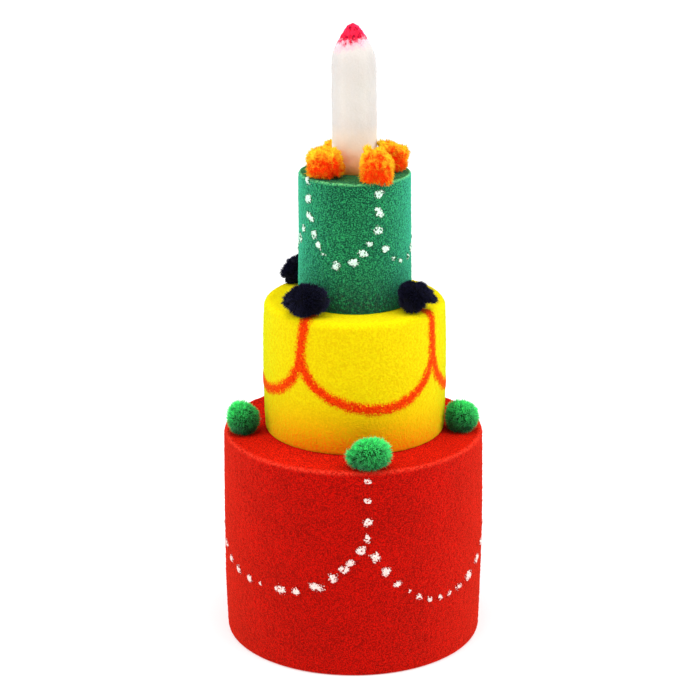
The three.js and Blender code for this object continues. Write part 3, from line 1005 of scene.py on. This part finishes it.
RED_LOOK = FoamLook(
    linear(116, 1, 0), linear(205, 5, 0), linear(246, 66, 44),
    paint=linear(255, 242, 234), paint_dark=linear(246, 206, 198),
    sheen_tint=(1, 0.05, 0.02, 1), rim_share=0.7, top=(1.36, 6.6, 6),
)
YELLOW_LOOK = FoamLook(
    linear(218, 182, 0), linear(227, 203, 0), linear(236, 220, 0),
    paint=linear(236, 60, 0), paint_dark=linear(206, 26, 0),
    sheen_tint=(0.72, 1, 0.02, 1), sheen_roughness=0.5, cell=0.95, paint_grain=0.75, ragged=0.45,
    holes=0.4, edge=0.1, soft=0.34, shadow=0, stain=(1.14, 0.24, 1), bounce_shade_grain=0.95,
    bounce_shade_spread=(0.5, 1.45), top=(1.17, 1.17, 1), top_sheen=0.5, paint_sheen=0.15,
)
GREEN_LOOK = FoamLook(
    linear(0, 28, 2), linear(44, 157, 82), linear(124, 214, 128),
    paint=linear(232, 252, 238), paint_dark=linear(204, 236, 214),
    sheen_tint=(0.12, 1, 0.66, 1), specks=(0.46, 0.64), rim_share=0.8,
    stain=(1, 0.02, 0), bounce_shade_spread=(0.05, 1.95), top=(3, 0.72, 0.12),
)


TIERS = [  # colour, tier, look, paint field, what it draws, its seed, how rough, how proud the paint is
    ("red", RED, RED_LOOK, dab_field, RED_STRING, 31, 0.12, 0.45),
    ("yellow", YELLOW, YELLOW_LOOK, line_field, LINE, 41, 0.1, 0.25),
    ("green", GREEN, GREEN_LOOK, dab_field, GREEN_STRING, 53, 0.12, 0.45),
]


def add_tiers():
    for seed, (colour, tier, look, field, drawn, field_seed, rough, proud) in enumerate(TIERS, 1):
        name = colour + "_foam"
        obj = foam_tier(name, tier, lambda points: field(drawn, points, field_seed), rough, proud, seed)
        wall = foam_material(name, look, 1)
        top = foam_material(name + "_top", look, look.top_sheen)
        paint = foam_material(name + "_paint", look, look.paint_sheen)
        finish_piece(obj, name, colour + "_tier", wall, top, paint)


POMPOM_RINGS = [
    ("green", RED, GREEN_YARN, {
        1: [(165, -0.16, 14), (115, 0.06, 30), (-136, -0.05, 20)],
        2: [(155, 0.1, 30), (-90, 0.05, 30)],
        4: [(90, 0.05, 40), (25, 0.08, 25), (-75, 0.08, 30), (-145, -0.12, 24)],
    }),
    ("navy", YELLOW, NAVY_YARN, {
        1: [(60, 0.1, 45), (-45, -0.16, 35), (-150, -0.12, 24), (145, -0.1, 20), (-177, 0.05, 8)],
        2: [(-9, 0.18, 9), (-36, -0.46, 13), (-60, -0.16, 20), (34, -0.12, 22), (-150, -0.18, 30),
            (175, -0.08, 25)],
        4: [(172, -0.12, 24), (145, -0.16, 25), (118, -0.16, 20), (-128, 0.06, 20)],
    }),
    ("orange", GREEN, ORANGE_YARN, {
        1: [(-148, 0.18, 14), (142, 0.12, 16), (112, 0.15, 20), (22, -0.18, 24), (-60, -0.26, 10)],
        2: [(122, 0.2, 11), (101, -0.3, 11), (78, 0.04, 10), (47, -0.22, 22), (-52, 0.14, 16),
            (-127, 0.16, 14)],
        3: [(142, 0.42, 14), (75, -0.22, 26), (34, 0.08, 14), (-15, -0.16, 26), (-60, -0.08, 26)],
        4: [(140, 0.1, 20)],
    }),
]
POMPOMS_IN_RING = 4
SEEDS_PER_RING = 100
YARN_LOOKS = {
    "green": YarnLook(
        linear(3, 46, 8), linear(68, 250, 120), power=1.5, foot=-0.72, head=0.45, head_from=-1, side=0.25,
        hollow=-0.45, clump=0.25, clump_size=2.2, uneven=0.4, glow=0.05, sheen=0.75,
        sheen_tint=(0.28, 1, 0.5, 1)),
    "navy": YarnLook(
        linear(2, 2, 8), linear(13, 13, 36), power=1.6, foot=0, head=0, head_from=-1, side=0.2,
        hollow=0, clump=0.2, clump_size=1.9, uneven=0.5, glow=0, sheen=0.09,
        sheen_tint=(0.5, 0.5, 1, 1)),
    "orange": YarnLook(
        linear(246, 44, 0), linear(255, 214, 40), power=5, foot=-0.3, head=0.7, head_from=-0.3, side=0.55,
        hollow=-0.15, clump=0.5, clump_size=2.6, uneven=0.1, glow=0.1, sheen=0.9,
        sheen_tint=(1, 0.45, 0.02, 1)),
}


def add_pompoms():
    for ring_number, (colour, tier, yarn, lobes) in enumerate(POMPOM_RINGS):
        material = yarn_material(colour + "_yarn", YARN_LOOKS[colour])
        for i in range(1, POMPOMS_IN_RING + 1):
            node = f"{colour}_pompom_{i}"
            piece = pompom(node, yarn, tier, lobes.get(i, []), SEEDS_PER_RING * ring_number + i)
            finish_piece(piece, colour + "_yarn", node, material)


add_tiers()
candle = foam_candle("candle_foam", seed=4)
finish_piece(candle, "white_foam", "candle", candle_material("candle_foam"))
add_pompoms()

# ---------- floor, light and camera ----------


FLOOR_SIZE = 12  # metres, as all from here on
FLOOR_BELOW = 0.0002
FLOOR_GLOW = (0.36, 0.9)  # how much it glows near the cake and far from it
FLOOR_GLOW_AT = (0.1, 2.0)


def add_floor():
    """Pale paper, which glows more far from the cake, where the lamps don't reach."""
    bpy.ops.mesh.primitive_plane_add(size=FLOOR_SIZE, location=(0, 0, -FLOOR_BELOW))
    floor = bpy.context.object
    floor.name = "floor"
    nodes = Nodes("floor")
    paper = nodes.mix(nodes.noise(30), linear(214, 214, 214), linear(218, 218, 218))
    away = nodes.add("ShaderNodeVectorMath", {0: nodes.place()}, operation="LENGTH").outputs["Value"]
    nodes.put("Base Color", paper)
    nodes.put("Roughness", 0.9)
    nodes.put("Specular IOR Level", 0.1)
    nodes.put("Emission Color", (1, 1, 1, 1))
    nodes.put("Emission Strength", nodes.remap(away, *FLOOR_GLOW_AT, *FLOOR_GLOW))
    floor.data.materials.append(nodes.material)


def add_aimed(name, data, place, aim):
    """A lamp or camera at a place, turned to where it aims."""
    obj = bpy.data.objects.new(name, data)
    obj.location = place
    obj.rotation_euler = (Vector(aim) - Vector(place)).to_track_quat("-Z", "Y").to_euler()
    bpy.context.scene.collection.objects.link(obj)
    return obj


LIGHT_AIM = (0, 0, 0.14)
SOFTBOXES = [  # name, place, size, watts
    ("softbox_left", (-1.0, -0.4, 0.65), (0.9, 1.2), 9.3),
    ("softbox_right", (1.0, -0.28, 0.55), (0.9, 1.2), 10.6),
    ("softbox_top", (0, -0.15, 1.5), (1.4, 1.4), 21.4),
]
WORLD_STRENGTH = 0.28


def add_softbox(name, place, size, watts):
    light = bpy.data.lights.new(name, "AREA")
    light.shape = "RECTANGLE"
    light.size, light.size_y = size
    light.energy = watts
    add_aimed(name, light, place, LIGHT_AIM)


def add_world():
    world = bpy.data.worlds.new("studio")
    world.use_nodes = True
    background = world.node_tree.nodes["Background"]
    background.inputs["Color"].default_value = (1, 1, 1, 1)
    background.inputs["Strength"].default_value = WORLD_STRENGTH
    bpy.context.scene.world = world


CAMERA_PLACE = (-0.00178, -0.896, 0.435)
CAMERA_AIM = (-0.00178, 0, 0.1365)
CAMERA_LENS = 105.07  # on the default 36 mm sensor


def add_camera():
    data = bpy.data.cameras.new("camera")
    data.lens = CAMERA_LENS
    bpy.context.scene.camera = add_aimed("camera", data, CAMERA_PLACE, CAMERA_AIM)


add_floor()
for softbox in SOFTBOXES:
    add_softbox(*softbox)
add_world()
add_camera()
bpy.context.scene.view_settings.view_transform = "Standard"
